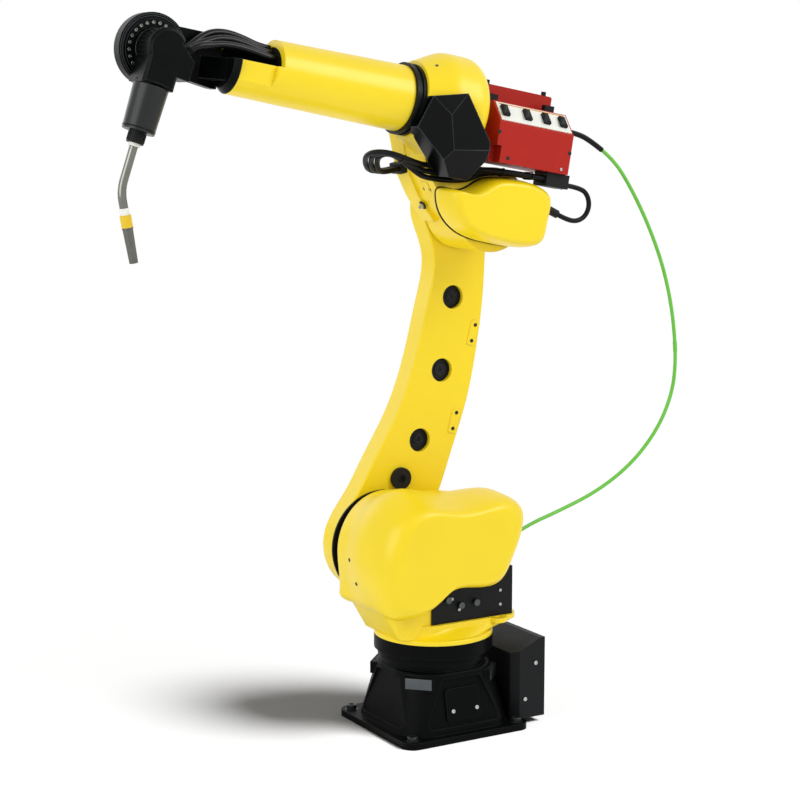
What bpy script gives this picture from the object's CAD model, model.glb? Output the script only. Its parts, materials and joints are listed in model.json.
"""Welding robot: finishes, cords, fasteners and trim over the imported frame, and the studio round it."""

import json
import logging
import math
from dataclasses import dataclass
from enum import Enum
from functools import cache
from typing import Any, Sequence

import bmesh
import bpy
from mathutils import Matrix, Vector
from mathutils.bvhtree import BVHTree
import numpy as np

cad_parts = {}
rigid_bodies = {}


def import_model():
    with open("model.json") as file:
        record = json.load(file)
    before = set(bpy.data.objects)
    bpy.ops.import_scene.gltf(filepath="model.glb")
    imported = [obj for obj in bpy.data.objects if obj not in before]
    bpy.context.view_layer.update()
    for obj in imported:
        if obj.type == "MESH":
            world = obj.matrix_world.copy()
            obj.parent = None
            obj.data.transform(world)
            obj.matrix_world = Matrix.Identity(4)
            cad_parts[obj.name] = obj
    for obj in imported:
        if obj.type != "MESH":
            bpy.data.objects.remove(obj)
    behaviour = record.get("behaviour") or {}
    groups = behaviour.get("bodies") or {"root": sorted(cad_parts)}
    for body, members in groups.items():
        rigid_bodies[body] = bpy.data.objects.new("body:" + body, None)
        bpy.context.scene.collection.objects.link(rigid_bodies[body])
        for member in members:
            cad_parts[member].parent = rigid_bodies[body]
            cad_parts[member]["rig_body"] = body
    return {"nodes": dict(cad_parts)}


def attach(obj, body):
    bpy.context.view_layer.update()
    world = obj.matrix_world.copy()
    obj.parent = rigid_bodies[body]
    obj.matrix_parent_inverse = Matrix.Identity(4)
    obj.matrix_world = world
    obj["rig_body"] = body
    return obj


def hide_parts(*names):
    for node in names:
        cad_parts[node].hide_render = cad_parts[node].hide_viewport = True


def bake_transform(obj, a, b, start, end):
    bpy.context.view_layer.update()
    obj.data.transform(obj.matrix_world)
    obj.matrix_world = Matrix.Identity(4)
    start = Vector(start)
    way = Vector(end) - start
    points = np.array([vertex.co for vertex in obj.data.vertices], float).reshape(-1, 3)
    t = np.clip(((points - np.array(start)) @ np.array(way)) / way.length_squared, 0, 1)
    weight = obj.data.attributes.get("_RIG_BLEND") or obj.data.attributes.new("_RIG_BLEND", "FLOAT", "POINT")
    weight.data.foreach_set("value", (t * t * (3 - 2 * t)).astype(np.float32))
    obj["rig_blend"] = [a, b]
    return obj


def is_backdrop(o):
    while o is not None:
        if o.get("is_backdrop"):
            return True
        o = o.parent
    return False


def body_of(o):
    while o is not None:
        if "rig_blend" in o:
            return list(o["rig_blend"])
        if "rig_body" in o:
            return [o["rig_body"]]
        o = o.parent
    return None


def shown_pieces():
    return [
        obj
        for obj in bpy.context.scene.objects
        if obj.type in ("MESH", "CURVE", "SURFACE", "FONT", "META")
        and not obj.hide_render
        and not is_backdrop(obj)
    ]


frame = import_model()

log = logging.getLogger("welding_robot")

Spot = tuple[float, float, float]
Pair = tuple[float, float]

MM = 0.001
RIGHT_ANGLE = 90.0
AHEAD, NEAR, UP = Vector((1, 0, 0)), Vector((0, 1, 0)), Vector((0, 0, 1))

# Steps of curves and rounded edges, the distances at which vertices merge, and where shading breaks
LINE_STEPS = 10
TUBE_STEPS = 5
EDGE_STEPS = 3
WELD = 0.001 * MM
SEAM_WELD = 0.01 * MM
CUT_WELD = 0.2 * MM
SHARP_ANGLE = math.radians(32)

# What all finishes share: noise detail and the span of it that moves the roughness, bump and edge wear
PATCH_DETAIL = 4.0
PATCH_LOW = 0.3
PATCH_HIGH = 0.7
BUMP_STRENGTH = 0.5
BEVEL_SAMPLES = 4
EDGE_START_SHARE = 0.1
EDGE_WEAR = 0.9

# The colour sockets of a Mix node, whose names are not unique
MIX_A, MIX_B, MIX_RESULT = 6, 7, 2


def to_linear(hex_colour: str) -> tuple[float, float, float, float]:
    """Turns an sRGB hex colour into linear light.

    Args:
        hex_colour: Six hex digits with a leading hash.

    Returns:
        Red, green, blue and a full alpha.
    """
    shares = [int(hex_colour[i : i + 2], 16) / 255 for i in (1, 3, 5)]
    linear = [s / 12.92 if s <= 0.04045 else ((s + 0.055) / 1.055) ** 2.4 for s in shares]
    return (*linear, 1.0)


def add_node(
    tree: bpy.types.NodeTree, kind: str, feeds: dict[Any, Any] | None = None, **settings: Any
) -> bpy.types.Node:
    """Adds a node, sets its properties and feeds its sockets.

    Args:
        tree: The tree that takes the node.
        kind: The node's type name.
        feeds: Socket name or number to a value, or to an output socket to link.
        settings: Properties of the node.

    Returns:
        The new node.
    """
    node = tree.nodes.new(kind)
    for name, value in settings.items():
        setattr(node, name, value)
    for socket, value in (feeds or {}).items():
        if isinstance(value, bpy.types.NodeSocket):
            tree.links.new(value, node.inputs[socket])
        else:
            node.inputs[socket].default_value = value
    return node


def empty_tree(owner: bpy.types.Material | bpy.types.World) -> bpy.types.NodeTree:
    """Empties the node tree of a material or world.

    Args:
        owner: The material or world.

    Returns:
        Its tree, with no nodes.
    """
    owner.use_nodes = True
    owner.node_tree.nodes.clear()
    return owner.node_tree


class Texture(Enum):
    """How a surface was made, which sets the pattern of its bump."""

    SPRAYED = "sprayed"
    MOULDED = "moulded"
    TURNED = "turned"


GRAIN_DETAIL = {Texture.SPRAYED: 1.0, Texture.TURNED: 6.0}


@dataclass(frozen=True)
class Finish:
    """A finish with a base colour, a patchy second tone, a fine bump and softened edges.

    Sizes are in millimetres: patch is the width of the tone patches, grain the pitch of the bump and edge
    the radius of the softened edges. Edges wear to edge_colour where the normal turns past edge_turn.
    """

    name: str
    slot: str
    colour: str
    second: str
    texture: Texture
    roughness: float
    roughness_spread: float
    patch: float
    grain: float
    grain_height: float
    edge: float
    edge_colour: str = ""
    edge_turn: float = 0.85
    metallic: float = 0.0
    specular: float = 0.5
    coat: float = 0.0
    coat_roughness: float = 0.1
    streak: Spot = (1.0, 1.0, 1.0)

    def material(self) -> bpy.types.Material:
        """Makes the finish as a material, on first use.

        Returns:
            The material.
        """
        made = bpy.data.materials.get(self.name)
        if made:
            return made
        made = bpy.data.materials.new(self.name)
        tree = empty_tree(made)
        place = add_node(tree, "ShaderNodeTexCoord").outputs["Object"]
        streaks = add_node(tree, "ShaderNodeMapping", {"Vector": place, "Scale": self.streak}).outputs[0]
        noise = {"Vector": streaks, "Scale": 1 / (self.patch * MM), "Detail": PATCH_DETAIL}
        patches = add_node(tree, "ShaderNodeTexNoise", noise).outputs[0]
        tones = {0: patches, MIX_A: to_linear(self.colour), MIX_B: to_linear(self.second)}
        tone = add_node(tree, "ShaderNodeMix", tones, data_type="RGBA").outputs[MIX_RESULT]
        radius = {"Radius": self.edge * MM}
        rounded = add_node(tree, "ShaderNodeBevel", radius, samples=BEVEL_SAMPLES).outputs[0]
        if self.edge_colour:
            tone = self.worn_edges(tree, tone, rounded, patches)
        spread = {
            "Value": patches,
            "From Min": PATCH_LOW,
            "From Max": PATCH_HIGH,
            "To Min": self.roughness - self.roughness_spread,
            "To Max": self.roughness + self.roughness_spread,
        }
        bump = {
            "Height": self.grain_pattern(tree, streaks),
            "Strength": BUMP_STRENGTH,
            "Distance": self.grain_height * MM,
            "Normal": rounded,
        }
        look = {
            "Base Color": tone,
            "Roughness": add_node(tree, "ShaderNodeMapRange", spread).outputs[0],
            "Normal": add_node(tree, "ShaderNodeBump", bump).outputs[0],
            "Metallic": self.metallic,
            "Specular IOR Level": self.specular,
            "Coat Weight": self.coat,
            "Coat Roughness": self.coat_roughness,
        }
        shader = add_node(tree, "ShaderNodeBsdfPrincipled", look)
        add_node(tree, "ShaderNodeOutputMaterial", {"Surface": shader.outputs[0]})
        return made

    def grain_pattern(self, tree: bpy.types.NodeTree, place: bpy.types.NodeSocket) -> bpy.types.NodeSocket:
        """The height pattern of the surface.

        Args:
            tree: The material's tree.
            place: The coordinates that the pattern reads.

        Returns:
            The socket with the height.
        """
        scale = 1 / (self.grain * MM)
        if self.texture is Texture.MOULDED:
            cells = add_node(tree, "ShaderNodeTexVoronoi", {"Vector": place, "Scale": scale})
            return cells.outputs["Distance"]
        noise = {"Vector": place, "Scale": scale, "Detail": GRAIN_DETAIL[self.texture]}
        return add_node(tree, "ShaderNodeTexNoise", noise).outputs[0]

    def worn_edges(
        self,
        tree: bpy.types.NodeTree,
        tone: bpy.types.NodeSocket,
        rounded: bpy.types.NodeSocket,
        patches: bpy.types.NodeSocket,
    ) -> bpy.types.NodeSocket:
        """The tone with rubbed edges, found where the rounded normal leaves the flat one.

        Args:
            tree: The material's tree.
            tone: The colour away from the edges.
            rounded: The normal with rounded edges.
            patches: The noise that breaks the rubbing up.

        Returns:
            The socket with the colour.
        """
        flat = add_node(tree, "ShaderNodeNewGeometry").outputs["Normal"]
        normals = {0: flat, 1: rounded}
        turn = add_node(tree, "ShaderNodeVectorMath", normals, operation="DOT_PRODUCT").outputs["Value"]
        wear = {
            "Value": turn,
            "From Min": 1 - EDGE_START_SHARE * (1 - self.edge_turn),
            "From Max": self.edge_turn,
            "To Max": EDGE_WEAR,
        }
        lost = add_node(tree, "ShaderNodeMapRange", wear).outputs[0]
        rubbed = add_node(tree, "ShaderNodeMath", {0: lost, 1: patches}, operation="MULTIPLY").outputs[0]
        tones = {0: rubbed, MIX_A: tone, MIX_B: to_linear(self.edge_colour)}
        return add_node(tree, "ShaderNodeMix", tones, data_type="RGBA").outputs[MIX_RESULT]


# Two-pack enamel sprayed on iron castings: even yellow, with orange peel drawn coarse enough to show
YELLOW = Finish(
    "yellow_enamel", "yellow_paint", "#F6DA12", "#F1D20C", Texture.SPRAYED,
    roughness=0.38, roughness_spread=0.04, patch=160, grain=2.6, grain_height=0.05,
    edge=2.2, edge_colour="#FBEA6A", specular=0.4, coat=0.15, coat_roughness=0.18,
)
# Stoved black enamel on the base casting: satin, with cast grain under it and greyer rubbed edges
BLACK_ENAMEL = Finish(
    "black_cast_enamel", "black_paint", "#040505", "#080909", Texture.SPRAYED,
    roughness=0.42, roughness_spread=0.06, patch=60, grain=3.2, grain_height=0.22,
    edge=2.0, edge_colour="#3C4042", specular=0.05,
)
# Black anodised aluminium of the wrist: smoother than the enamel, with edges rubbed to grey
BLACK_ANODISED = Finish(
    "black_anodised_aluminium", "black_paint", "#050607", "#090A0B", Texture.TURNED,
    roughness=0.32, roughness_spread=0.06, patch=40, grain=1.6, grain_height=0.05,
    edge=1.6, edge_colour="#6A6E70", specular=0.07,
)
# Textured black powder coat on sheet steel: fine matt cells, greyer at the edges
BLACK_POWDER = Finish(
    "black_powder_coat", "black_paint", "#0D0E10", "#131416", Texture.MOULDED,
    roughness=0.46, roughness_spread=0.05, patch=70, grain=1.4, grain_height=0.1,
    edge=1.0, edge_colour="#3A3D40", specular=0.16,
)
# Polished ABS of the faceted cover: deep black gloss with faintly lighter ridges
BLACK_GLOSS = Finish(
    "black_gloss_abs", "black_plastic", "#030405", "#060708", Texture.SPRAYED,
    roughness=0.22, roughness_spread=0.03, patch=80, grain=3.0, grain_height=0.02,
    edge=3.0, edge_colour="#6C7276", edge_turn=0.96, specular=0.12,
)
# Glass-filled nylon of plugs, latches and connectors: fine spark-eroded grain
BLACK_NYLON = Finish(
    "black_nylon", "black_plastic", "#0D0E0F", "#131415", Texture.MOULDED,
    roughness=0.5, roughness_spread=0.06, patch=25, grain=0.9, grain_height=0.08,
    edge=0.8, specular=0.2,
)
# Satin moulding of the torch's handle: near black with a soft sheen and slightly lighter edges
TORCH_BLACK = Finish(
    "torch_satin_moulding", "black_plastic", "#0F1211", "#151817", Texture.MOULDED,
    roughness=0.33, roughness_spread=0.05, patch=45, grain=1.1, grain_height=0.07,
    edge=1.2, edge_colour="#3A3E3C", specular=0.35,
)
# Nitrile rubber of cables, seals and liners: dull black with a soft mottle
BLACK_RUBBER = Finish(
    "black_nitrile_rubber", "black_rubber", "#0B0C0D", "#101111", Texture.SPRAYED,
    roughness=0.4, roughness_spread=0.08, patch=18, grain=1.8, grain_height=0.06,
    edge=0.8, specular=0.14,
)
# Thermoplastic jacket of the wrist hoses: smooth black with long narrow highlights
BLACK_HOSE = Finish(
    "black_hose_jacket", "black_rubber", "#090A0A", "#0E0F0F", Texture.SPRAYED,
    roughness=0.2, roughness_spread=0.05, patch=18, grain=1.8, grain_height=0.03,
    edge=0.8, specular=0.2,
)
# Red powder coat on folded sheet: fine texture, slightly uneven red and paler rubbed edges
RED_POWDER = Finish(
    "red_powder_coat", "red_paint", "#B02216", "#A41D12", Texture.MOULDED,
    roughness=0.42, roughness_spread=0.05, patch=90, grain=1.3, grain_height=0.07,
    edge=1.2, edge_colour="#C8453A", specular=0.2,
)
# Pale stove enamel of the feeder's strip: smooth and almost even
WHITE_PANEL = Finish(
    "pale_stove_enamel", "white_panel", "#F1F2EA", "#E8E9E0", Texture.SPRAYED,
    roughness=0.35, roughness_spread=0.04, patch=40, grain=2.0, grain_height=0.03,
    edge=0.5,
)
# Moulded amber edging of the strip: warm and half matt
AMBER = Finish(
    "amber_edging", "white_panel", "#E9A23A", "#DE942E", Texture.MOULDED,
    roughness=0.4, roughness_spread=0.04, patch=20, grain=1.0, grain_height=0.04,
    edge=0.4,
)
# Zinc-plated steel of the bright screws: pale metal with fine turning marks
ZINC = Finish(
    "zinc_plated_steel", "bare_steel", "#C9CBC8", "#B2B5B4", Texture.TURNED,
    roughness=0.32, roughness_spread=0.06, patch=8, grain=0.6, grain_height=0.03,
    edge=0.5, metallic=1.0,
)
# Oil-blackened steel of the dark screws: a dull metal glint
BLACK_SCREW = Finish(
    "oil_black_steel", "bare_steel", "#26282A", "#323436", Texture.TURNED,
    roughness=0.36, roughness_spread=0.06, patch=8, grain=0.6, grain_height=0.03,
    edge=0.5, metallic=0.7,
)
# Milled steel of pads and brackets: mid grey metal with long cutter marks
MILLED = Finish(
    "milled_steel", "bare_steel", "#5E6164", "#4E5154", Texture.TURNED,
    roughness=0.38, roughness_spread=0.06, patch=30, grain=1.2, grain_height=0.04,
    edge=0.8, metallic=1.0, streak=(0.15, 1.0, 1.0),
)
# Polished stainless steel of the torch neck and the wrist's bolts: sharp grey reflections
STAINLESS = Finish(
    "polished_stainless", "bare_steel", "#84867F", "#70726B", Texture.TURNED,
    roughness=0.2, roughness_spread=0.05, patch=20, grain=0.8, grain_height=0.02,
    edge=0.5, metallic=1.0,
)
# Steel of the nozzle, dulled by spatter: mottled grey
NOZZLE_STEEL = Finish(
    "dulled_nozzle_steel", "bare_steel", "#75776F", "#585A56", Texture.TURNED,
    roughness=0.42, roughness_spread=0.08, patch=6, grain=0.8, grain_height=0.06,
    edge=0.6, metallic=0.9,
)
# Copper of the contact tip: brown where heat has darkened it
COPPER = Finish(
    "heat_darkened_copper", "bare_steel", "#A9663F", "#7E4A30", Texture.TURNED,
    roughness=0.34, roughness_spread=0.06, patch=5, grain=0.6, grain_height=0.03,
    edge=0.4, metallic=1.0,
)
# White PTFE of the insulators: waxy off-white
PTFE = Finish(
    "white_ptfe", "white_insulator", "#EFEEE8", "#E2E1DA", Texture.MOULDED,
    roughness=0.5, roughness_spread=0.05, patch=10, grain=0.8, grain_height=0.03,
    edge=0.6,
)
# Yellow polyamide of the torch band: deeper than the paint and half matt
YELLOW_BAND = Finish(
    "yellow_polyamide", "yellow_paint", "#E8C31C", "#DDB718", Texture.MOULDED,
    roughness=0.42, roughness_spread=0.05, patch=12, grain=0.8, grain_height=0.05,
    edge=0.8,
)
# Bright green polyamide of the wire conduit: smooth, with a soft line of gloss
GREEN = Finish(
    "green_polyamide", "green_plastic", "#6CC63A", "#5DB62F", Texture.SPRAYED,
    roughness=0.34, roughness_spread=0.05, patch=25, grain=1.5, grain_height=0.04,
    edge=0.5,
)

NODE_FINISHES: dict[Finish, tuple[str, ...]] = {
    YELLOW: (
        "turret_casting", "shoulder_cowl", "lower_arm", "elbow_casting", "elbow_motor_cover", "forearm_tube",
    ),
    BLACK_ENAMEL: ("base_casting", "base_side_covers", "swivel_collar", "shoulder_reducer", "elbow_reducer"),
    BLACK_ANODISED: ("wrist_arm", "wrist_housing", "wrist_bolt_ring"),
    BLACK_POWDER: ("connector_box", "turret_panel"),
    BLACK_GLOSS: ("elbow_side_cover",),
    BLACK_NYLON: (
        "connector_box_plugs", "arm_hole_caps", "arm_plug", "feeder_latches", "feeder_knobs", "torch_collar",
        "conduit_gland", "cable_connectors",
    ),
    TORCH_BLACK: ("torch_body",),
    BLACK_RUBBER: ("forearm_seal",),
    RED_POWDER: ("feeder_body", "feeder_back_plate"),
    WHITE_PANEL: ("feeder_strip",),
    MILLED: ("feeder_bracket", "panel_fittings"),
    STAINLESS: ("torch_neck",),
    NOZZLE_STEEL: ("torch_nozzle",),
    PTFE: ("neck_insulator", "tip_insulator"),
    YELLOW_BAND: ("torch_band",),
}


@dataclass(frozen=True)
class Layout:
    """Places and directions of the links at rest, in millimetres and degrees, as the CAD has them."""

    shoulder: Spot = (75.0, 0.0, 425.0)
    upper_arm: float = 840.0
    elbow_rise: float = 215.0
    reach: float = 884.0
    arm_lean: float = 15.5
    forearm_pitch: float = 10.0
    torch_tilt: float = 18.8

    def way(self, raised: float) -> Vector:
        """The direction that is raised by an angle from straight ahead."""
        return Vector((math.cos(math.radians(raised)), 0, math.sin(math.radians(raised))))

    def beside(self, origin: Vector, raised: float, ahead: float, up: float, side: float) -> Vector:
        """A place along, above and beside a link.

        Args:
            origin: The link's own origin.
            raised: The angle of the link's forward direction.
            ahead: How far along that direction.
            up: How far above it.
            side: How far across the robot, towards the near side.

        Returns:
            The place in millimetres.
        """
        return origin + self.way(raised) * ahead + self.way(raised + RIGHT_ANGLE) * up + NEAR * side

    def foot(self) -> Vector:
        """The foot of the forearm axis above the elbow joint, in millimetres."""
        elbow = self.beside(Vector(self.shoulder), self.arm_lean, 0.0, self.upper_arm, 0.0)
        return self.beside(elbow, self.forearm_pitch, 0.0, self.elbow_rise, 0.0)

    def on_arm(self, ahead: float, up: float, side: float) -> Vector:
        """A place on the lower arm in metres, from the shoulder axis."""
        return self.beside(Vector(self.shoulder), self.arm_lean, ahead, up, side) * MM

    def on_elbow(self, ahead: float, up: float, side: float) -> Vector:
        """A place on the elbow or forearm in metres, from the foot of the forearm axis."""
        return self.beside(self.foot(), self.forearm_pitch, ahead, up, side) * MM

    def on_torch(self, ahead: float, up: float, side: float) -> Vector:
        """A place on the wrist housing or torch in metres, down the torch from the wrist axis."""
        wrist = self.beside(self.foot(), self.forearm_pitch, self.reach, 0.0, 0.0)
        return self.beside(wrist, self.torch_tilt - RIGHT_ANGLE, ahead, up, side) * MM


LAYOUT = Layout()


@dataclass(frozen=True)
class SoftLamp:
    """A square soft lamp: its place and side in metres and its power in watts."""

    name: str
    place: Spot
    side: float
    power: float


@dataclass
class Studio:
    """Camera at the photograph's angle, a pale floor and soft light, in metres and degrees."""

    focal_px: float = 1986.0
    frame_px: float = 800.0
    sensor_mm: float = 36.0
    camera_place: Spot = (2.4457, 3.9586, 1.4997)
    camera_yaw: float = 239.276
    camera_pitch: float = -8.69
    floor_radius: float = 6.0
    floor_sides: int = 96
    floor_grey: float = 0.23
    white_from: float = 0.75
    white_to: float = 1.9
    lamps: tuple[SoftLamp, ...] = (
        SoftLamp("key_lamp", (-1.9, 2.6, 3.4), 2.2, 75.0),
        SoftLamp("fill_lamp", (3.8, 0.9, 2.2), 2.6, 55.0),
        SoftLamp("far_lamp", (1.4, -3.6, 2.4), 2.4, 16.0),
    )
    lamp_aim: Spot = (0.0, 0.0, 0.8)
    floor_lamp_place: Spot = (-1.2, 1.7, 3.1)
    floor_lamp_angle: float = 24.0
    floor_lamp_strength: float = 14.5
    shadow_bodies: tuple[str, ...] = ("base", "turret")
    sky_level: float = 0.56

    def build(self) -> None:
        """Makes the camera, the floor, the lamps and the world."""
        self.camera()
        self.floor()
        for lamp in self.lamps:
            data = bpy.data.lights.new(lamp.name, "AREA")
            data.size = lamp.side
            self.hung(data, lamp.place, lamp.power)
        self.shadow_lamp()
        self.world()
        bpy.context.scene.view_settings.view_transform = "Standard"

    def camera(self) -> None:
        """Makes the camera and gives it to the scene."""
        data = bpy.data.cameras.new("camera")
        data.sensor_width = self.sensor_mm
        data.lens = self.focal_px / self.frame_px * self.sensor_mm
        camera = bpy.data.objects.new("camera", data)
        camera.location = self.camera_place
        camera.rotation_euler = self.turn().to_euler()
        bpy.context.scene.collection.objects.link(camera)
        bpy.context.scene.camera = camera

    def turn(self) -> Matrix:
        """The camera's rotation."""
        lift = Matrix.Rotation(math.radians(RIGHT_ANGLE + self.camera_pitch), 3, "X")
        return Matrix.Rotation(math.radians(self.camera_yaw - RIGHT_ANGLE), 3, "Z") @ lift

    def ray(self, x: float, y: float) -> tuple[Vector, Vector]:
        """The line of sight through a pixel of the photograph.

        Args:
            x: Pixels from the left.
            y: Pixels from the top.

        Returns:
            The camera's place and the direction.
        """
        middle = self.frame_px / 2
        look = Vector(((x - middle) / self.focal_px, (middle - y) / self.focal_px, -1.0))
        return Vector(self.camera_place), (self.turn() @ look).normalized()

    def floor(self) -> None:
        """Makes the round floor."""
        shape = bmesh.new()
        bmesh.ops.create_circle(shape, cap_ends=True, segments=self.floor_sides, radius=self.floor_radius)
        mesh = bpy.data.meshes.new("floor")
        shape.to_mesh(mesh)
        shape.free()
        floor = bpy.data.objects.new("floor", mesh)
        bpy.context.scene.collection.objects.link(floor)
        floor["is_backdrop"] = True
        mesh.materials.append(self.floor_material())

    def floor_material(self) -> bpy.types.Material:
        """Makes the floor's finish, which fades to plain white away from the robot.

        Returns:
            The material.
        """
        # Matt painted floor: pale enough to take the shadow near the robot, plain white further out
        material = bpy.data.materials.new("pale_floor")
        tree = empty_tree(material)
        place = add_node(tree, "ShaderNodeTexCoord").outputs["Object"]
        away = add_node(tree, "ShaderNodeVectorMath", {0: place}, operation="LENGTH").outputs["Value"]
        span = {"Value": away, "From Min": self.white_from, "From Max": self.white_to}
        fade = add_node(tree, "ShaderNodeMapRange", span, interpolation_type="SMOOTHSTEP").outputs[0]
        shares = {0: fade, 1: self.seen(tree)}
        blank = add_node(tree, "ShaderNodeMath", shares, operation="MULTIPLY").outputs[0]
        near = add_node(tree, "ShaderNodeBsdfDiffuse", {"Color": (*(self.floor_grey,) * 3, 1.0)}).outputs[0]
        white = add_node(tree, "ShaderNodeEmission", {"Strength": 1.0}).outputs[0]
        mixed = add_node(tree, "ShaderNodeMixShader", {0: blank, 1: near, 2: white}).outputs[0]
        add_node(tree, "ShaderNodeOutputMaterial", {"Surface": mixed})
        return material

    def seen(self, tree: bpy.types.NodeTree) -> bpy.types.NodeSocket:
        """The share of rays that show the background: camera, mirror and glass rays.

        Args:
            tree: The tree that takes the nodes.

        Returns:
            The socket with the share.
        """
        path = add_node(tree, "ShaderNodeLightPath").outputs
        direct = {0: path["Is Camera Ray"], 1: path["Is Glossy Ray"]}
        first = add_node(tree, "ShaderNodeMath", direct, operation="MAXIMUM").outputs[0]
        through = {0: first, 1: path["Is Transmission Ray"]}
        return add_node(tree, "ShaderNodeMath", through, operation="MAXIMUM").outputs[0]

    def shadow_lamp(self) -> None:
        """Lights the floor alone from the right, so that the foot's shadow falls to the left."""
        data = bpy.data.lights.new("floor_lamp", "SUN")
        data.angle = math.radians(self.floor_lamp_angle)
        lamp = self.hung(data, self.floor_lamp_place, self.floor_lamp_strength)
        lit = bpy.data.collections.new("floor_only")
        lit.objects.link(bpy.data.objects["floor"])
        lamp.light_linking.receiver_collection = lit
        dark = bpy.data.collections.new("floor_shadow_makers")
        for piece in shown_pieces():
            if body_of(piece)[0] in self.shadow_bodies:
                dark.objects.link(piece)
        lamp.light_linking.blocker_collection = dark

    def hung(self, data: bpy.types.Light, place: Spot, power: float) -> bpy.types.Object:
        """Hangs a light so that it faces the robot's middle.

        Args:
            data: The light.
            place: Where it hangs.
            power: Its power in watts, or a sun's strength.

        Returns:
            The lamp.
        """
        data.energy = power
        lamp = bpy.data.objects.new(data.name, data)
        lamp.location = place
        lamp.rotation_euler = (Vector(self.lamp_aim) - Vector(place)).to_track_quat("-Z", "Y").to_euler()
        bpy.context.scene.collection.objects.link(lamp)
        return lamp

    def world(self) -> None:
        """Lights from all round, and shows white where the background is seen."""
        world = bpy.data.worlds.new("studio")
        tree = empty_tree(world)
        levels = {"Value": self.seen(tree), "To Min": self.sky_level, "To Max": 1.0}
        level = add_node(tree, "ShaderNodeMapRange", levels).outputs[0]
        white = {"Color": (1.0, 1.0, 1.0, 1.0), "Strength": level}
        sky = add_node(tree, "ShaderNodeBackground", white).outputs[0]
        add_node(tree, "ShaderNodeOutputWorld", {"Surface": sky})
        bpy.context.scene.world = world


STUDIO = Studio()


def finished(name: str, mesh: bpy.types.Mesh, finish: Finish, body: str = "") -> bpy.types.Object:
    """Makes an object of a mesh, dresses it and seats it on a body.

    Args:
        name: The piece's name.
        mesh: Its mesh, in place.
        finish: Its finish.
        body: The body it rides on, or nothing for a piece that is blended later.

    Returns:
        The piece.
    """
    mesh.materials.clear()
    mesh.materials.append(finish.material())
    piece = bpy.data.objects.new(name, mesh)
    bpy.context.scene.collection.objects.link(piece)
    if body:
        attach(piece, body)
    log.info("%s: %d faces", name, len(mesh.polygons))
    return piece


def route_mesh(name: str, route: Sequence[Spot], radius: float, cyclic: bool = False) -> bpy.types.Mesh:
    """The tube round a smooth spline that has the route's points as its control points.

    Args:
        name: The mesh's name.
        route: The route in millimetres.
        radius: The tube's radius in millimetres, or zero for the bare line.
        cyclic: Whether the line closes on itself.

    Returns:
        The mesh, in place.
    """
    line = bpy.data.curves.new(name + "_line", "CURVE")
    line.dimensions = "3D"
    line.bevel_depth = radius * MM
    line.bevel_resolution = TUBE_STEPS
    line.use_fill_caps = not cyclic
    spline = line.splines.new("NURBS")
    spline.points.add(len(route) - 1)
    for point, spot in zip(spline.points, route):
        point.co = (*(Vector(spot) * MM), 1.0)
    spline.order_u = 3
    spline.use_endpoint_u = not cyclic
    spline.use_cyclic_u = cyclic
    spline.resolution_u = LINE_STEPS
    curve = bpy.data.objects.new(line.name, line)
    mesh = bpy.data.meshes.new_from_object(curve)
    mesh.name = name
    bpy.data.objects.remove(curve)
    bpy.data.curves.remove(line)
    for face in mesh.polygons:
        face.use_smooth = True
    return mesh


@dataclass(frozen=True)
class Cord:
    """A cord along the CAD route: its node, points and radius in millimetres, and length in metres."""

    name: str
    node: str
    route: tuple[Spot, ...]
    radius: float
    length: float
    finish: Finish
    body: str = ""
    bodies: tuple[str, str] = ("", "")
    bend_from: Spot = (0.0, 0.0, 0.0)
    bend_to: Spot = (0.0, 0.0, 0.0)
    stiffness: str = "medium"
    lay: str = "loose"
    far_end: str = "object"

    def build(self, fittings: Sequence[bpy.types.Object] = ()) -> None:
        """Args:
            fittings: The separate pieces on the cord.
        """
        line = route_mesh(self.name + "_path", self.route, 0.0)
        bpy.data.meshes.remove(line)
        tube = finished(self.name, route_mesh(self.name, self.route, self.radius), self.finish, self.body)
        if not self.body:
            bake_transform(tube, *self.bodies, start=Vector(self.bend_from) * MM, end=Vector(self.bend_to) * MM)
        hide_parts(self.node)


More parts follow.
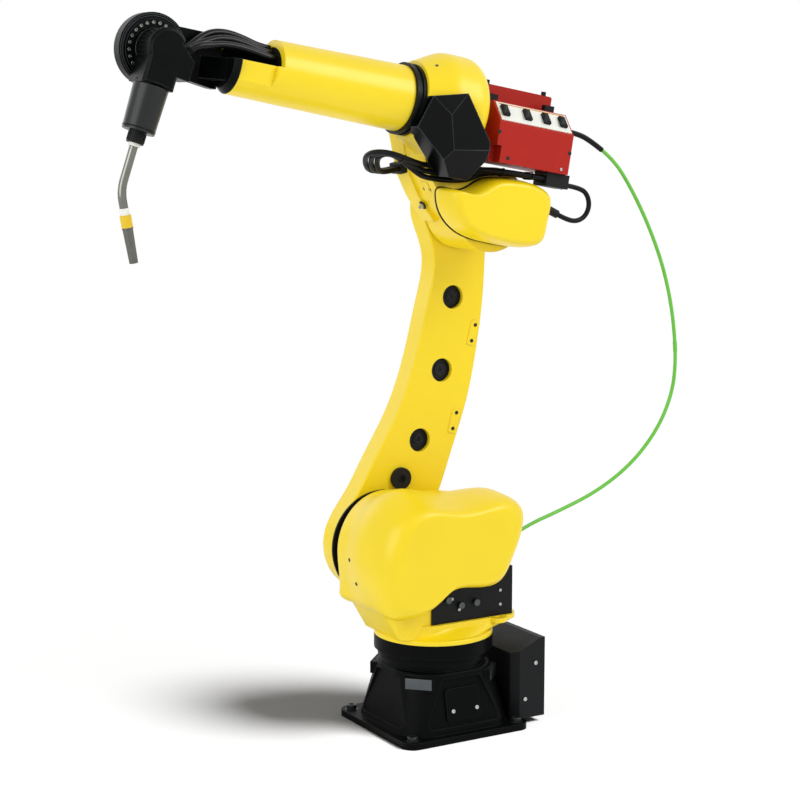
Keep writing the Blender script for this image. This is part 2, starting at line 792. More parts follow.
@dataclass(frozen=True)
class Dressing:
    """The cords of the robot: routes and radii in millimetres, lengths in metres."""

    hoses: tuple[tuple[Spot, ...], ...] = (
        (
            (417.1, -20.0, 1603.4), (444.6, -20.0, 1608.3), (482.3, -20.0, 1625.1), (520.8, -20.0, 1637.0),
            (555.2, -19.0, 1637.9), (583.5, -15.0, 1627.2), (616.2, -9.5, 1606.9), (639.2, -9.5, 1590.9),
        ),
        (
            (419.1, 1.0, 1591.6), (444.7, 1.0, 1596.1), (482.6, 1.0, 1611.9), (519.3, 1.0, 1622.5),
            (551.5, 2.0, 1624.1), (581.2, 5.0, 1617.1), (616.2, 9.0, 1606.9), (639.2, 9.0, 1590.9),
        ),
        (
            (421.0, 21.0, 1580.8), (443.7, 21.0, 1584.8), (479.1, 21.0, 1597.1), (516.0, 22.0, 1606.7),
            (549.8, 23.0, 1610.6), (582.7, 25.0, 1608.3), (616.2, 27.5, 1606.9), (639.2, 27.5, 1590.9),
        ),
    )
    hose_names: tuple[str, ...] = ("wrist_hose_far", "wrist_hose_middle", "wrist_hose_near")
    hose_lengths: tuple[float, ...] = (0.241, 0.232, 0.226)
    hose_radius: float = 8.5
    conduit_upper: tuple[Spot, ...] = (
        (-436.8, 60.0, 1372.2), (-473.4, 60.0, 1347.8), (-527.0, 57.0, 1283.0), (-590.0, 54.0, 1183.0),
        (-645.0, 49.5, 1069.0), (-681.0, 44.0, 945.0), (-689.0, 41.0, 877.0),
    )
    conduit_lower: tuple[Spot, ...] = (
        (-689.0, 41.0, 877.0), (-694.1, 39.1, 833.3), (-687.0, 35.0, 755.0), (-649.0, 30.0, 669.0),
        (-575.0, 22.0, 585.0), (-473.0, 12.5, 521.0), (-350.0, 4.0, 478.0), (-281.0, 0.0, 458.4),
        (-200.0, 0.0, 424.0),
    )
    conduit_upper_length: float = 0.570
    conduit_lower_length: float = 0.738
    conduit_radius: float = 4.6
    conduit_bend_end: int = 4
    sleeve: tuple[Spot, ...] = (
        (-687.5, 41.6, 889.9), (-688.4, 41.2, 882.0), (-689.6, 40.8, 872.0), (-690.5, 40.4, 864.1),
    )
    sleeve_radius: float = 5.3
    cables: tuple[tuple[Spot, ...], ...] = (
        (
            (48.9, -79.0, 1331.8), (78.2, -79.0, 1325.6), (113.0, -69.2, 1326.4), (138.3, -29.0, 1364.4),
            (122.9, 16.5, 1372.8), (73.2, 31.5, 1330.6), (42.7, 28.0, 1313.3), (-63.2, 28.0, 1303.5),
            (-112.6, 39.3, 1325.0), (-179.0, 57.0, 1321.1), (-249.9, 57.0, 1308.6),
        ),
        (
            (48.9, -94.0, 1331.8), (78.2, -94.0, 1325.6), (120.4, -82.0, 1327.7), (153.1, -32.0, 1367.0),
            (135.4, 24.0, 1375.1), (77.6, 42.0, 1340.5), (43.1, 28.0, 1328.3), (-65.8, 28.0, 1318.3),
            (-113.0, 54.0, 1327.2), (-179.0, 72.0, 1321.1), (-249.9, 72.0, 1308.6),
        ),
        (
            (48.9, -109.0, 1331.8), (78.2, -109.0, 1325.6), (127.8, -94.8, 1329.0), (167.9, -35.0, 1369.6),
            (148.0, 31.5, 1377.3), (81.9, 52.5, 1350.4), (43.5, 28.0, 1343.3), (-68.4, 28.0, 1333.0),
            (-113.4, 68.7, 1329.4), (-179.0, 87.0, 1321.1), (-249.9, 87.0, 1308.6),
        ),
    )
    cable_lengths: tuple[float, ...] = (0.561, 0.597, 0.642)
    cable_radius: float = 6.5
    loop: tuple[Spot, ...] = (
        (-329.7, 72.0, 1289.0), (-371.0, 72.0, 1281.7), (-389.9, 72.0, 1262.1), (-393.5, 72.0, 1236.1),
        (-380.3, 72.0, 1213.0), (-355.2, 72.0, 1203.3), (-325.8, 72.0, 1209.4), (-298.6, 72.0, 1222.4),
    )
    loop_length: float = 0.205
    loop_radius: float = 6.0
    boot: tuple[Spot, ...] = (
        (-320.2, 60.0, 1419.7), (-361.6, 60.0, 1412.4), (-400.4, 60.0, 1396.3), (-436.8, 60.0, 1372.2),
    )
    boot_radius: float = 6.5

    def build(self) -> None:
        """Makes the wrist hoses, the wire conduit with its sleeve and boot, and the elbow's cables."""
        for name, route, length in zip(self.hose_names, self.hoses, self.hose_lengths):
            Cord(
                name + "_tube", name, route, self.hose_radius, length, BLACK_HOSE,
                bodies=("forearm", "wrist"), bend_from=route[1], bend_to=route[-2], stiffness="stiff",
            ).build()
        sleeve_mesh = route_mesh("conduit_joint_sleeve", self.sleeve, self.sleeve_radius)
        sleeve = finished("conduit_joint_sleeve", sleeve_mesh, GREEN, "lower_arm")
        upper, lower = self.conduit_upper, self.conduit_lower
        Cord(
            "wire_conduit_upper_tube", "wire_conduit_upper", upper, self.conduit_radius,
            self.conduit_upper_length, GREEN, bodies=("elbow", "lower_arm"), bend_from=upper[0],
            bend_to=upper[self.conduit_bend_end], stiffness="stiff", far_end="fitting",
        ).build([sleeve])
        Cord(
            "wire_conduit_lower_tube", "wire_conduit_lower", lower, self.conduit_radius,
            self.conduit_lower_length, GREEN, bodies=("lower_arm", "turret"), bend_from=lower[0],
            bend_to=lower[self.conduit_bend_end], stiffness="stiff",
        ).build()
        for number, (route, length) in enumerate(zip(self.cables, self.cable_lengths)):
            Cord(
                f"elbow_cable_{number}", "elbow_cables", route, self.cable_radius, length, BLACK_RUBBER,
                body="elbow",
            ).build()
        Cord(
            "cable_loop", "elbow_cables", self.loop, self.loop_radius, self.loop_length, BLACK_RUBBER,
            body="elbow", stiffness="stiff",
        ).build()
        boot_mesh = route_mesh("conduit_boot_sleeve", self.boot, self.boot_radius)
        boot = finished("conduit_boot_sleeve", boot_mesh, BLACK_RUBBER, "elbow")
        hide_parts("conduit_boot")


DRESSING = Dressing()


def lathe(profile: Sequence[Pair], sides: int = 24) -> bmesh.types.BMesh:
    """A turned shape round Z.

    Args:
        profile: Radii and heights in millimetres, from axis to axis or closed on itself.
        sides: Facets round the axis.

    Returns:
        The shape, with outward normals.
    """
    shape = bmesh.new()
    rim = [shape.verts.new((radius * MM, 0.0, height * MM)) for radius, height in profile]
    line = [shape.edges.new(pair) for pair in zip(rim, rim[1:])]
    bmesh.ops.spin(
        shape, geom=rim + line, cent=(0, 0, 0), axis=(0, 0, 1), dvec=(0, 0, 0), angle=math.tau, steps=sides,
        use_merge=True,
    )
    bmesh.ops.remove_doubles(shape, verts=shape.verts, dist=WELD)
    bmesh.ops.dissolve_degenerate(shape, edges=shape.edges, dist=WELD)
    bmesh.ops.recalc_face_normals(shape, faces=shape.faces)
    return shape


@dataclass(frozen=True)
class Plate:
    """A flat plate with rounded edges that lies on its place, in millimetres."""

    length: float
    width: float
    height: float
    edge: float

    def shape(self) -> bmesh.types.BMesh:
        """Makes the plate from a box.

        Returns:
            The plate round its own origin, Z outward.
        """
        shape = bmesh.new()
        lift = Matrix.Translation((0, 0, self.height * MM / 2))
        size = Matrix.Diagonal((self.length * MM, self.width * MM, self.height * MM, 1.0))
        bmesh.ops.create_cube(shape, size=1.0, matrix=lift @ size)
        bmesh.ops.bevel(
            shape, geom=shape.edges, offset=self.edge * MM, affect="EDGES", segments=EDGE_STEPS, profile=0.5,
            material=-1,
        )
        return shape


@dataclass(frozen=True)
class Ring:
    """A flat ring with broken edges that lies on its place, in millimetres."""

    inner: float
    outer: float
    height: float
    edge: float = 0.5
    sides: int = 64

    def shape(self) -> bmesh.types.BMesh:
        """Turns the ring.

        Returns:
            The ring round its own origin, Z outward.
        """
        inner, outer, top, edge = self.inner, self.outer, self.height, self.edge
        profile = [(inner, 0.0), (outer, 0.0), (outer, top - edge), (outer - edge, top)]
        profile += [(inner + edge, top), (inner, top - edge), (inner, 0.0)]
        return lathe(profile, self.sides)


def scattered(
    name: str, shape: bmesh.types.BMesh, places: Sequence[Matrix], finish: Finish, body: str
) -> None:
    """Copies a shape to many places as one piece.

    Args:
        name: The piece's name.
        shape: The shape round its own origin, freed here.
        places: Where each copy goes.
        finish: The piece's finish.
        body: The body it rides on.
    """
    template = bpy.data.meshes.new(name)
    shape.to_mesh(template)
    shape.free()
    joined = bmesh.new()
    for place in places:
        before = len(joined.verts)
        joined.from_mesh(template)
        joined.verts.ensure_lookup_table()
        bmesh.ops.transform(joined, matrix=place, verts=joined.verts[before:])
    for face in joined.faces:
        face.smooth = True
    joined.to_mesh(template)
    joined.free()
    template.set_sharp_from_angle(angle=SHARP_ANGLE)
    finished(name, template, finish, body)


def node_copy(node: str) -> bmesh.types.BMesh:
    """Copies a CAD node's mesh.

    Args:
        node: The node's name.

    Returns:
        The copy, in place.
    """
    shape = bmesh.new()
    shape.from_mesh(frame["nodes"][node].data)
    shape.transform(frame["nodes"][node].matrix_world)
    return shape


@cache
def surface(node: str) -> BVHTree:
    """The search tree of a CAD node's faces.

    Args:
        node: The node's name.

    Returns:
        The tree.
    """
    shape = node_copy(node)
    tree = BVHTree.FromBMesh(shape)
    shape.free()
    return tree


def facing(place: Vector, normal: Vector) -> Matrix:
    """A frame at a place in metres whose Z is the given normal."""
    return Matrix.Translation(place) @ normal.to_track_quat("Z", "Y").to_matrix().to_4x4()


def frame_of(place: Vector, across: Vector, normal: Vector) -> Matrix:
    """A frame from its place in metres, its X and its Z."""
    turn = Matrix((across, normal.cross(across), normal)).transposed()
    return Matrix.Translation(place) @ turn.to_4x4()


def seat(node: str, start: Vector, way: Vector) -> Matrix:
    """Where a line meets a CAD node.

    Args:
        node: The node that carries the piece.
        start: The line's start in metres.
        way: Its direction.

    Returns:
        A frame on the surface whose Z is the surface's normal.
    """
    place, normal, _, _ = surface(node).ray_cast(start, way)
    if place is None:
        raise ValueError(f"the line misses {node}")
    return facing(place, normal)


def seats_seen(node: str, pixels: Sequence[Pair]) -> list[Matrix]:
    """The frames where pixels of the photograph meet a CAD node."""
    return [seat(node, *STUDIO.ray(x, y)) for x, y in pixels]


def around(
    centre: Vector, axis: Vector, radius: float, count: int, start: float = 0.0
) -> list[tuple[Vector, Vector]]:
    """Places on a circle.

    Args:
        centre: The circle's centre in metres.
        axis: The direction it turns round.
        radius: Its radius in millimetres.
        count: How many places.
        start: The first angle in degrees.

    Returns:
        Each place with its outward direction.
    """
    turned = facing(Vector(), axis).to_3x3()
    found = []
    for index in range(count):
        angle = math.radians(start) + math.tau * index / count
        out = turned @ Vector((math.cos(angle), math.sin(angle), 0.0))
        found.append((centre + out * radius * MM, out))
    return found


class Head(Enum):
    """The kinds of screw head on the robot."""

    SOCKET = "socket"
    DOMED = "domed"


@dataclass(frozen=True)
class Screw:
    """A screw head, and the washer under it where it has one, in millimetres and shares of its size."""

    head: Head
    radius: float
    height: float
    finish: Finish
    washer: float = 0.0
    washer_height: float = 0.0
    sink: float = 0.8
    chamfer_share: float = 0.14
    socket_share: float = 0.52
    socket_depth_share: float = 0.55
    socket_taper_share: float = 0.96
    socket_point_share: float = 0.2
    dome_angles: tuple[int, ...] = (0, 22, 45, 67, 90)
    dome_sides: int = 20

    def shape(self) -> bmesh.types.BMesh:
        """Turns the head and its washer.

        Returns:
            The screw round its own origin, Z outward.
        """
        radius, base, top = self.radius, self.washer_height, self.washer_height + self.height
        profile = [(0.0, -self.sink), (self.washer or radius, -self.sink)]
        if self.washer:
            profile.append((self.washer, base))
        if self.head is Head.DOMED:
            angles = [math.radians(angle) for angle in self.dome_angles]
            profile += [(radius * math.cos(angle), base + self.height * math.sin(angle)) for angle in angles]
            return lathe(profile, self.dome_sides)
        chamfer = radius * self.chamfer_share
        socket = radius * self.socket_share
        floor = top - self.height * self.socket_depth_share
        profile += [(radius, base), (radius, top - chamfer), (radius - chamfer, top), (socket, top)]
        point = floor - socket * self.socket_point_share
        profile += [(socket * self.socket_taper_share, floor), (0.0, point)]
        return lathe(profile)

    def place(self, name: str, places: Sequence[Matrix], body: str) -> None:
        """Sets a screw at each place, as one piece."""
        scattered(name, self.shape(), places, self.finish, body)


FOOT_BOLT = Screw(Head.SOCKET, 12.5, 11.0, BLACK_SCREW, washer=16.4, washer_height=2.6, sink=0.2)
COVER_SCREW = Screw(Head.SOCKET, 5.0, 3.2, ZINC)
DARK_SCREW = Screw(Head.SOCKET, 4.6, 1.6, BLACK_SCREW)
SMALL_ZINC = Screw(Head.SOCKET, 3.7, 2.6, ZINC)
FAR_BOLT = Screw(Head.SOCKET, 5.4, 4.2, BLACK_SCREW)
RING_BOLT = Screw(Head.SOCKET, 4.0, 2.8, STAINLESS)
DOME_PLUG = Screw(Head.DOMED, 4.0, 1.8, MILLED)


@dataclass
class BaseTrim:
    """Fasteners, machined pads and plug rings of the base, in millimetres."""

    corners: tuple[tuple[int, int], ...] = ((-1, -1), (-1, 1), (1, -1), (1, 1))
    bolt_reach: float = 145.0
    bolt_seat: float = 13.0
    cover_screws: tuple[Pair, ...] = ((29.0, 66.0), (-37.0, 66.0))
    box_screws: tuple[Pair, ...] = ((-175.0, 64.0), (-205.0, 150.0))
    flank_start: float = 500.0
    pad: Plate = Plate(64.0, 26.0, 1.2, 0.4)
    pad_start: float = 400.0
    pad_height: float = 134.5
    plug_start: Spot = (-400.0, 60.0, 113.5)
    plug_ring: Ring = Ring(16.0, 22.0, 3.0)
    ridge: Plate = Plate(1.8, 11.0, 1.2, 0.3)
    ridge_set_back: float = 8.0
    ridge_circle: float = 23.6
    ridge_count: int = 24

    def dress(self) -> None:
        """Makes the pieces and seats them on the base."""
        bolts = [Vector((x * self.bolt_reach, y * self.bolt_reach, self.bolt_seat)) for x, y in self.corners]
        FOOT_BOLT.place("base_foot_bolts", [Matrix.Translation(bolt * MM) for bolt in bolts], "base")
        covers = self.both_sides("base_side_covers", self.cover_screws)
        COVER_SCREW.place("side_cover_screws", covers, "base")
        box = self.both_sides("connector_box", self.box_screws)
        COVER_SCREW.place("connector_box_screws", box, "base")
        pads = [self.pad_place(x, y) for x, y in self.corners]
        scattered("machined_lug_pads", self.pad.shape(), pads, MILLED, "base")
        x, y, z = self.plug_start
        starts = [Vector((x, y * side, z)) * MM for side in (-1, 1)]
        caps = [seat("connector_box_plugs", start, AHEAD) for start in starts]
        scattered("plug_coupling_rings", self.plug_ring.shape(), caps, BLACK_SCREW, "base")
        ridges = []
        for cap in caps:
            centre = cap.translation + AHEAD * self.ridge_set_back * MM
            for place, out in around(centre, AHEAD, self.ridge_circle, self.ridge_count):
                ridges.append(frame_of(place, AHEAD.cross(out), out))
        scattered("plug_grip_ridges", self.ridge.shape(), ridges, BLACK_NYLON, "base")

    def pad_place(self, x: int, y: int) -> Matrix:
        """The frame of the machined pad on a corner lug.

        Args:
            x: The corner's side along the robot, one or minus one.
            y: Its side across the robot, one or minus one.

        Returns:
            The frame, with X level and Z out of the lug.
        """
        start = Vector((x * self.pad_start, y * self.pad_start, self.pad_height)) * MM
        found = seat("base_casting", start, Vector((-x, -y, 0)).normalized())
        normal = found.to_3x3() @ UP
        return frame_of(found.translation, UP.cross(normal).normalized(), normal)

    def both_sides(self, node: str, spots: Sequence[Pair]) -> list[Matrix]:
        """Frames on the far and the near flank of a node.

        Args:
            node: The node that carries the pieces.
            spots: Places along the robot and up.

        Returns:
            The frames, with Z out of the flank.
        """
        found = []
        for side in (-1, 1):
            for x, z in spots:
                start = Vector((x, side * self.flank_start, z)) * MM
                found.append(seat(node, start, NEAR * -side))
        return found


@dataclass
class TurretTrim:
    """Fasteners of the cowl and the connector panel: pixels of the photograph, and millimetres behind."""

    cowl_pixels: tuple[Pair, ...] = ((349.5, 560.0), (356.5, 584.0))
    panel_pixels: tuple[Pair, ...] = ((452.0, 599.0), (459.0, 609.5), (500.0, 604.0), (500.0, 590.0))
    rear_start: float = -400.0
    rear_side: float = 74.0
    rear_heights: tuple[float, ...] = (290.0, 340.0)

    def dress(self) -> None:
        """Makes the pieces and seats them on the turret."""
        DARK_SCREW.place("cowl_screws", seats_seen("shoulder_cowl", self.cowl_pixels), "turret")
        panel = seats_seen("turret_panel", self.panel_pixels)
        for side in (-1, 1):
            for height in self.rear_heights:
                start = Vector((self.rear_start, side * self.rear_side, height)) * MM
                panel.append(seat("turret_panel", start, AHEAD))
        SMALL_ZINC.place("connector_panel_screws", panel, "turret")


@dataclass
class ArmTrim:
    """Fasteners, lid rings and far-side bolt circles of the lower arm, in millimetres from the shoulder."""

    holes: tuple[Pair, ...] = ((-42.2, 625.0), (-59.5, 445.2), (-44.0, 266.3))
    lid_rim: Ring = Ring(23.0, 27.6, 2.4)
    lid_boss: Ring = Ring(7.0, 13.0, 3.0)
    plug: Pair = (-13.6, 165.5)
    insert: tuple[Pair, ...] = (
        (0.0, 0.0), (10.6, 0.0), (10.6, 6.0), (9.0, 6.6), (5.0, 6.6), (4.6, 3.0), (0.0, 3.0),
    )
    insert_sides: int = 36
    seal: Ring = Ring(98.0, 133.0, 5.0)
    near_side: float = -127.0
    near_start: float = -100.0
    screw_pixels: tuple[Pair, ...] = ((383.0, 491.0), (373.0, 494.0))
    pads: tuple[Pair, ...] = ((-122.8, 552.7), (-128.3, 331.8))
    pad_screw_reach: float = 20.0
    bolt_circle: float = 87.0
    bolt_count: int = 12
    first_bolt: float = 15.0
    far_start: float = -300.0

    def dress(self) -> None:
        """Makes the pieces and seats them on the arm."""
        lids = [seat("arm_hole_caps", LAYOUT.on_arm(*hole, self.near_start), -NEAR) for hole in self.holes]
        scattered("lid_rims", self.lid_rim.shape(), lids, BLACK_RUBBER, "lower_arm")
        scattered("lid_bosses", self.lid_boss.shape(), lids, BLACK_GLOSS, "lower_arm")
        plug = facing(LAYOUT.on_arm(*self.plug, self.near_side), NEAR)
        insert = lathe(self.insert, self.insert_sides)
        scattered("arm_plug_insert", insert, [plug], BLACK_RUBBER, "lower_arm")
        shoulder = facing(LAYOUT.on_arm(0.0, 0.0, self.near_side), NEAR)
        scattered("shoulder_seal_ring", self.seal.shape(), [shoulder], BLACK_RUBBER, "lower_arm")
        screws = seats_seen("lower_arm", self.screw_pixels)
        for ahead, up in self.pads:
            for shift in (-self.pad_screw_reach, self.pad_screw_reach):
                screws.append(seat("lower_arm", LAYOUT.on_arm(ahead, up + shift, self.near_start), -NEAR))
        DARK_SCREW.place("arm_screws", screws, "lower_arm")
        bolts = []
        for up in (0.0, LAYOUT.upper_arm):
            centre = LAYOUT.on_arm(0.0, up, self.far_start)
            for place, _ in around(centre, NEAR, self.bolt_circle, self.bolt_count, self.first_bolt):
                bolts.append(seat("lower_arm", place, NEAR))
        FAR_BOLT.place("drive_bolt_circles", bolts, "lower_arm")


@dataclass
class ElbowTrim:
    """Pad, plug, gland and gasket of the elbow casting, and the ties on its cables, in millimetres."""

    pad: Plate = Plate(28.0, 30.0, 1.6, 0.6)
    pad_pixels: tuple[Pair, ...] = ((426.5, 187.0),)
    pad_screw_pixels: tuple[Pair, ...] = ((424.0, 188.5), (429.5, 189.5))
    plug_pixels: tuple[Pair, ...] = ((436.9, 65.5),)
    gland_pixels: tuple[Pair, ...] = ((423.0, 205.0),)
    grommet: Ring = Ring(6.0, 11.0, 2.0)
    gland: tuple[Pair, ...] = (
        (0.0, 0.0), (6.4, 0.0), (6.4, 5.0), (5.2, 5.6), (5.2, 11.0), (3.4, 11.6), (3.0, 8.0), (0.0, 8.0),
    )
    gasket_side: float = 21.0
    gasket_width: float = 3.2
    gasket_thickness: float = 5.0
    tied_runs: tuple[int, ...] = (4, 8, 9)
    tie_reach: float = 8.2
    tie_radius: float = 1.3

    def dress(self) -> None:
        """Makes the pieces and seats them on the elbow."""
        pad = seats_seen("elbow_casting", self.pad_pixels)
        scattered("elbow_pad", self.pad.shape(), pad, YELLOW, "elbow")
        lift = Matrix.Translation(NEAR * self.pad.height * MM)
        screws = [lift @ place for place in seats_seen("elbow_casting", self.pad_screw_pixels)]
        DARK_SCREW.place("elbow_pad_screws", screws, "elbow")
        DOME_PLUG.place("barrel_plug", seats_seen("elbow_casting", self.plug_pixels), "elbow")
        gland = seats_seen("elbow_casting", self.gland_pixels)
        scattered("horn_grommet", self.grommet.shape(), gland, BLACK_RUBBER, "elbow")
        scattered("horn_gland", lathe(self.gland), gland, ZINC, "elbow")
        self.gasket()
        for run in self.tied_runs:
            self.tie(run)

    def gasket(self) -> None:
        """Lays a rubber gasket round the motor cover, where an upright plane cuts it."""
        shape = node_copy("elbow_motor_cover")
        bmesh.ops.remove_doubles(shape, verts=shape.verts, dist=SEAM_WELD)
        bmesh.ops.bisect_plane(
            shape, geom=shape.verts[:] + shape.edges[:] + shape.faces[:],
            plane_co=NEAR * self.gasket_side * MM, plane_no=NEAR, clear_inner=True, clear_outer=True,
        )
        bmesh.ops.remove_doubles(shape, verts=shape.verts, dist=CUT_WELD)
        centre = sum((vertex.co for vertex in shape.verts), Vector()) / len(shape.verts)
        raised = bmesh.ops.extrude_edge_only(shape, edges=shape.edges[:])["geom"]
        corners = [part for part in raised if isinstance(part, bmesh.types.BMVert)]
        bmesh.ops.translate(shape, verts=corners, vec=NEAR * self.gasket_width * MM)
        bmesh.ops.recalc_face_normals(shape, faces=shape.faces)
        first = shape.faces[:][0]
        if first.normal.dot(first.calc_center_median() - centre) < 0:
            bmesh.ops.reverse_faces(shape, faces=shape.faces)
        bmesh.ops.solidify(shape, geom=shape.faces[:], thickness=-self.gasket_thickness * MM)
        bmesh.ops.recalc_face_normals(shape, faces=shape.faces)
        scattered("motor_cover_gasket", shape, [Matrix()], BLACK_RUBBER, "elbow")

    def tie(self, run: int) -> None:
        """Makes a cable tie round the three elbow cables.

        Args:
            run: The run of their routes that has the tie at its middle.
        """
        cables = DRESSING.cables
        middles = [(Vector(route[run]) + Vector(route[run + 1])) / 2 for route in cables]
        way = (Vector(cables[1][run + 1]) - Vector(cables[1][run])).normalized()
        across = middles[2] - middles[0]
        across -= way * across.dot(way)
        half, across = across.length / 2 + self.tie_reach, across.normalized()
        rise = way.cross(across) * self.tie_reach
        corners = [(-half, -1), (0, -1), (half, -1), (half, 1), (0, 1), (-half, 1)]
        loop = [tuple(middles[1] + across * a + rise * b) for a, b in corners]
        name = f"cable_tie_{run}"
        finished(name, route_mesh(name, loop, self.tie_radius, cyclic=True), BLACK_NYLON, "elbow")


@dataclass
class FeederTrim:
    """Screws, amber edging and latch levers of the wire feeder, at pixels of the photograph."""

    screw_pixels: tuple[Pair, ...] = ((499.6, 131.4), (507.8, 158.3), (569.7, 153.5))
    earth_pixels: tuple[Pair, ...] = ((560.8, 169.4),)
    edging_pixels: tuple[Pair, ...] = ((498.5, 103.2), (563.0, 116.3))
    edging_section: Spot = (2.4, 1.0, 0.3)
    lever_pixels: tuple[Pair, ...] = ((505.2, 110.0), (527.5, 114.8), (546.3, 118.8), (562.7, 122.0))
    lever: Plate = Plate(6.0, 19.0, 3.0, 0.8)

    def dress(self) -> None:
        """Makes the pieces and seats them on the feeder."""
        DARK_SCREW.place("feeder_screws", seats_seen("feeder_body", self.screw_pixels), "elbow")
        SMALL_ZINC.place("feeder_earth_screw", seats_seen("feeder_body", self.earth_pixels), "elbow")
        first, last = seats_seen("feeder_strip", self.edging_pixels)
        run = last.translation - first.translation
        middle = (first.translation + last.translation) / 2
        place = frame_of(middle, run.normalized(), first.to_3x3() @ UP)
        edging = Plate(run.length / MM, *self.edging_section)
        scattered("strip_edging", edging.shape(), [place], AMBER, "elbow")
        levers = seats_seen("feeder_latches", self.lever_pixels)
        scattered("latch_levers", self.lever.shape(), levers, BLACK_SCREW, "elbow")


@dataclass
class WristTrim:
    """Bolt rings, disc ridges, notch liner and hose ferrules of the wrist, in millimetres and degrees."""

    ring_side: float = -43.0
    bolt_circle: float = 57.5
    bolt_count: int = 24
    disc_side: float = -46.0
    disc_ridges: tuple[Ring, ...] = (Ring(70.3, 72.7, 1.4), Ring(74.8, 77.2, 1.4))
    far_start: float = -200.0
    far_circle: float = 58.0
    far_count: int = 10
    liner_from: float = 624.0
    liner_to: float = 723.4
    liner_radius: float = 53.4
    liner_thickness: float = 1.6
    liner_start: float = 4.0
    liner_turn: float = 224.0
    liner_steps: int = 36
    edge_trim: Plate = Plate(102.0, 20.0, 1.6, 0.5)
    edge_trim_at: Spot = (674.0, 45.0, -40.0)
    grommet_set_back: float = 1.6
    grommet_thickness: float = 1.2
    grommet_sides: int = 48
    ferrule: Ring = Ring(8.4, 10.6, 13.0, 1.0)

    def dress(self) -> None:
        """Makes the pieces and seats them on the forearm and the wrist."""
        ring = around(self.beside_wrist(self.ring_side), NEAR, self.bolt_circle, self.bolt_count)
        RING_BOLT.place("wrist_ring_bolts", [facing(place, NEAR) for place, _ in ring], "forearm")
        disc = facing(self.beside_wrist(self.disc_side), NEAR)
        for number, ridge in enumerate(self.disc_ridges):
            scattered(f"wrist_disc_ridge_{number}", ridge.shape(), [disc], BLACK_GLOSS, "forearm")
        far = around(self.beside_wrist(self.far_start), NEAR, self.far_circle, self.far_count)
        FAR_BOLT.place("wrist_far_bolts", [seat("wrist_arm", place, NEAR) for place, _ in far], "forearm")
        self.line_notch()
        ends = []
        for route in DRESSING.hoses:
            back = Vector(route[-2]) - Vector(route[-1])
            ends.append(facing(Vector(route[-1]) * MM, back.normalized()))
        scattered("hose_ferrules", self.ferrule.shape(), ends, BLACK_ANODISED, "wrist")

    def beside_wrist(self, side: float) -> Vector:
        """A place on the wrist axis in metres."""
        return LAYOUT.on_elbow(LAYOUT.reach, 0.0, side)

    def line_notch(self) -> None:
        """Makes the rubber liner, edge trim and grommet of the notch in the forearm tube."""
        along = LAYOUT.way(LAYOUT.forearm_pitch)
        start = Matrix.Rotation(math.radians(self.liner_start), 3, along)
        radius = start @ NEAR * self.liner_radius * MM
        shape = bmesh.new()
        ends = [LAYOUT.on_elbow(place, 0.0, 0.0) + radius for place in (self.liner_from, self.liner_to)]
        corners = [shape.verts.new(end) for end in ends]
        line = shape.edges.new(corners)
        bmesh.ops.spin(
            shape, geom=corners + [line], cent=LAYOUT.on_elbow(0.0, 0.0, 0.0), axis=along, dvec=(0, 0, 0),
            angle=-math.radians(self.liner_turn), steps=self.liner_steps,
        )
        bmesh.ops.recalc_face_normals(shape, faces=shape.faces)
        bmesh.ops.solidify(shape, geom=shape.faces[:], thickness=self.liner_thickness * MM)
        bmesh.ops.recalc_face_normals(shape, faces=shape.faces)
        scattered("notch_liner", shape, [Matrix()], BLACK_RUBBER, "forearm")
        edge = frame_of(LAYOUT.on_elbow(*self.edge_trim_at), along, NEAR)
        scattered("notch_edge_trim", self.edge_trim.shape(), [edge], BLACK_RUBBER, "forearm")
        rim, thickness = self.liner_radius, self.grommet_thickness
        disc = lathe([(0.0, 0.0), (rim, 0.0), (rim, thickness), (0.0, thickness)], self.grommet_sides)
        inside = facing(LAYOUT.on_elbow(self.liner_from - self.grommet_set_back, 0.0, 0.0), along)
        scattered("hose_grommet", disc, [inside], BLACK_RUBBER, "forearm")


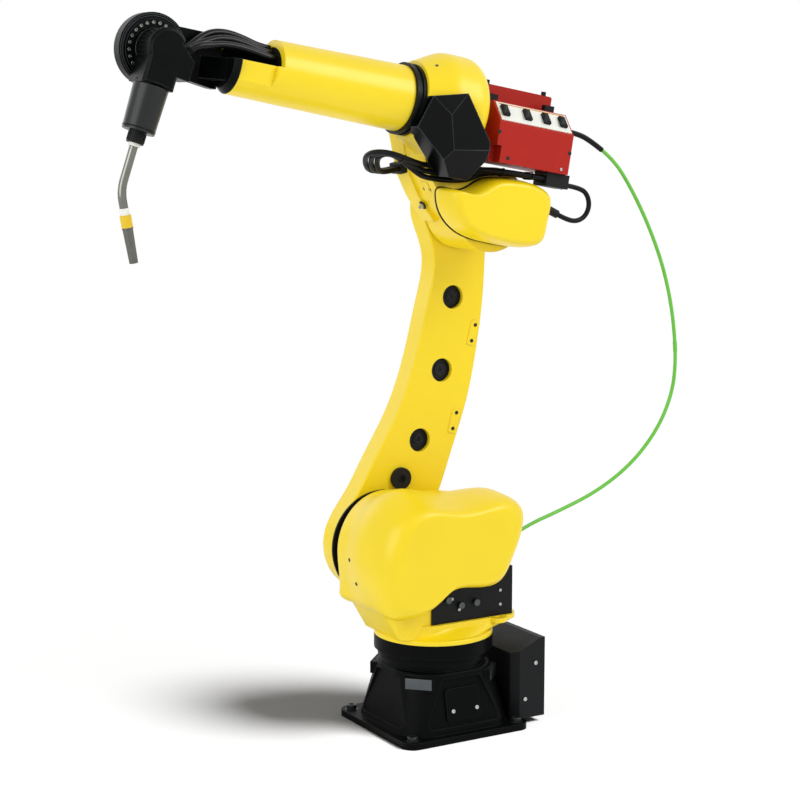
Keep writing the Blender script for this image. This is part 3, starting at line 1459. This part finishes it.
@dataclass
class TorchTrim:
    """Seam rings, collar ridges, nozzle rim and contact tip of the torch, in millimetres and degrees."""

    seams: tuple[tuple[float, Ring], ...] = ((76.0, Ring(37.0, 39.4, 3.2)), (176.0, Ring(34.6, 37.0, 3.2)))
    collar_middle: float = 197.0
    collar_circle: float = 18.7
    collar_ridge: Plate = Plate(1.7, 19.0, 1.3, 0.4)
    collar_ridge_count: int = 28
    neck_end: Pair = (348.6, -18.2)
    neck_bend: float = 28.5
    rim: Ring = Ring(9.0, 12.4, 4.0, 0.8)
    rim_from: float = 42.0
    tip: tuple[Pair, ...] = (
        (0.0, 0.0), (3.6, 0.0), (3.6, 13.0), (2.6, 15.0), (0.9, 15.0), (0.8, 11.0), (0.0, 11.0),
    )
    tip_from: float = 104.0

    def dress(self) -> None:
        """Makes the pieces and seats them on the torch."""
        down = LAYOUT.way(LAYOUT.torch_tilt - RIGHT_ANGLE)
        for number, (along, ring) in enumerate(self.seams):
            seam = facing(LAYOUT.on_torch(along, 0.0, 0.0), down)
            scattered(f"torch_seam_ring_{number}", ring.shape(), [seam], BLACK_ANODISED, "torch")
        collar = LAYOUT.on_torch(self.collar_middle, 0.0, 0.0)
        spots = around(collar, down, self.collar_circle, self.collar_ridge_count)
        ridges = [frame_of(place, down.cross(out), out) for place, out in spots]
        scattered("collar_grip_ridges", self.collar_ridge.shape(), ridges, BLACK_NYLON, "torch")
        way = LAYOUT.way(LAYOUT.torch_tilt - RIGHT_ANGLE - self.neck_bend)
        start = LAYOUT.on_torch(*self.neck_end, 0.0)
        rim = facing(start + way * self.rim_from * MM, way)
        scattered("nozzle_rim", self.rim.shape(), [rim], NOZZLE_STEEL, "torch")
        tip = facing(start + way * self.tip_from * MM, way)
        scattered("contact_tip", lathe(self.tip), [tip], COPPER, "torch")


def dress_nodes() -> None:
    """Gives each CAD node its finish."""
    for finish, names in NODE_FINISHES.items():
        for name in names:
            mesh = frame["nodes"][name].data
            mesh.materials.clear()
            mesh.materials.append(finish.material())
            log.info("%s: %s", name, finish.name)


def main() -> None:
    """Builds the studio, the cords and the trim."""
    logging.basicConfig(level=logging.INFO, format="%(message)s")
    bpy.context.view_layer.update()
    STUDIO.build()
    DRESSING.build()
    for trim in (BaseTrim(), TurretTrim(), ArmTrim(), ElbowTrim(), FeederTrim(), WristTrim(), TorchTrim()):
        trim.dress()
    dress_nodes()


if __name__ == "__main__":
    main()
